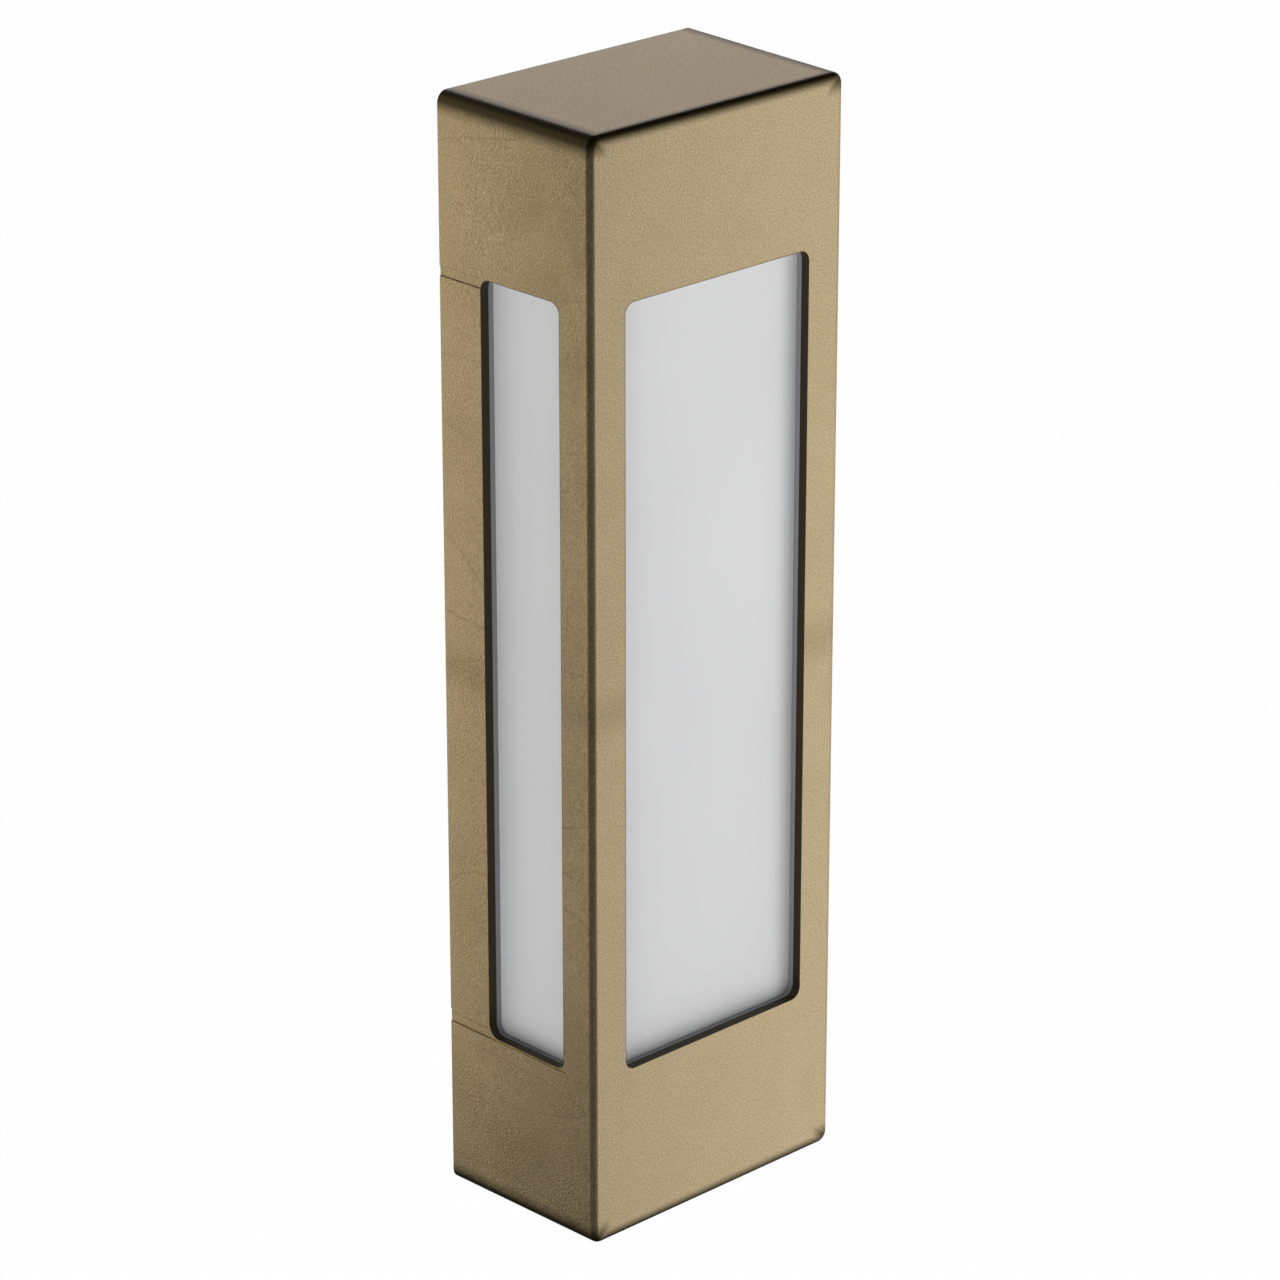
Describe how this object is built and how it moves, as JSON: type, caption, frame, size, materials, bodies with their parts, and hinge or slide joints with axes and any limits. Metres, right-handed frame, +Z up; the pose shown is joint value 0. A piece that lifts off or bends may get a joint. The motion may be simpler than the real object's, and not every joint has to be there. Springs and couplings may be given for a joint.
{
  "type": "outdoor wall lantern",
  "caption": "Slim upright outdoor wall light: a bronze-gold moulded box with opal panes in its front and both sides, on a steel wall bracket.",
  "frame": {"origin": "middle of the wall face, on the back of the wall bracket", "axes": "+Z up along the lantern's length, +Y into the wall, so the front pane faces -Y; +X to the right as one looks at it"},
  "size_m": [0.088, 0.054, 0.3],
  "materials": {
    "bronze_shell": "satin gold-bronze metallic paint on fine-textured moulded plastic",
    "grey_gasket": "matt grey silicone sponge",
    "opal_pane": "opal acrylic, satin",
    "white_chamber": "matt white reflective plastic",
    "screw_steel": "zinc-plated",
    "plate_aluminium": "mill finish",
    "board_white": "white solder mask",
    "led_phosphor": "yellow phosphor in a white package",
    "driver_case": "matt light grey",
    "driver_board": "green solder mask",
    "driver_parts": "black epoxy and sleeved parts",
    "rear_cover": "fine-textured black plastic",
    "black_rubber": "matt black",
    "black_foam": "closed-cell foam",
    "vent_membrane": "white breathable membrane",
    "terminal_body": "light grey polyamide",
    "tinned_copper": "tin plated copper",
    "lever_brown": "brown polyamide",
    "lever_blue": "blue polyamide",
    "insert_brass": "turned",
    "lead_brown": "brown insulation",
    "lead_blue": "blue insulation",
    "lead_red": "red insulation",
    "lead_black": "black insulation",
    "bracket_steel": "zinc-plated sheet",
    "stainless": "stainless",
    "white_nylon": "natural nylon"
  },
  "bodies": {
    "bracket": {"wall_bracket": "bracket_steel", "cable_grommet": "black_rubber"},
    "head": {"housing": "bronze_shell", "front_window_gasket": "grey_gasket", "right_window_gasket": "grey_gasket", "left_window_gasket": "grey_gasket", "front_pane": "opal_pane", "right_pane": "opal_pane", "left_pane": "opal_pane", "light_chamber": "white_chamber", "chamber_screws": "screw_steel", "led_plate": "plate_aluminium", "led_plate_screws": "screw_steel", "led_board": "board_white", "led_chips": "led_phosphor", "led_driver_case": "driver_case", "led_driver_lid": "driver_case", "led_driver_board": "driver_board", "led_driver_components": "driver_parts", "rear_cover": "rear_cover", "rear_cover_seal": "black_rubber", "rear_cover_screws": "screw_steel", "wall_foam_seal": "black_foam", "vent_patch": "vent_membrane", "lead_grommet": "black_rubber", "terminal_block": "terminal_body", "terminal_contacts": "tinned_copper", "brass_inserts": "insert_brass", "live_lead": "lead_brown", "neutral_lead": "lead_blue", "led_positive_lead": "lead_red", "led_negative_lead": "lead_black"},
    "left_washer": {"left_screw_washer": "white_nylon"},
    "left_screw": {"left_fixing_screw": "stainless"},
    "right_washer": {"right_screw_washer": "white_nylon"},
    "right_screw": {"right_fixing_screw": "stainless"},
    "live_lever": {"live_lever": "lever_brown"},
    "neutral_lever": {"neutral_lever": "lever_blue"}
  },
  "joints": [
    {"name": "head_pull_off", "type": "slide", "parent": "bracket", "child": "head", "axis": [0, -1, 0], "range_m": [0, 0.06]},
    {"name": "left_screw_travel", "type": "slide", "parent": "head", "child": "left_washer", "axis": [0, 0, -1], "range_m": [0, 0.0042]},
    {"name": "left_screw_turn", "type": "hinge", "parent": "left_washer", "child": "left_screw", "pos_m": [-0.0221, -0.015, -0.14659], "axis": [0, 0, -1], "range_deg": [0, 2160]},
    {"name": "right_screw_travel", "type": "slide", "parent": "head", "child": "right_washer", "axis": [0, 0, -1], "range_m": [0, 0.0042]},
    {"name": "right_screw_turn", "type": "hinge", "parent": "right_washer", "child": "right_screw", "pos_m": [0.0221, -0.015, -0.14659], "axis": [0, 0, -1], "range_deg": [0, 2160]},
    {"name": "live_lever_lift", "type": "hinge", "parent": "head", "child": "live_lever", "pos_m": [-0.0045, -0.0245, -0.13279], "axis": [1, 0, 0], "range_deg": [0, 85]},
    {"name": "neutral_lever_lift", "type": "hinge", "parent": "head", "child": "neutral_lever", "pos_m": [0.0045, -0.0245, -0.13279], "axis": [1, 0, 0], "range_deg": [0, 85]}
  ],
  "couplings": [
    {"joint": "left_screw_turn", "follows": "left_screw_travel", "rad_per_m": 8976},
    {"joint": "right_screw_turn", "follows": "right_screw_travel", "rad_per_m": 8976}
  ]
}
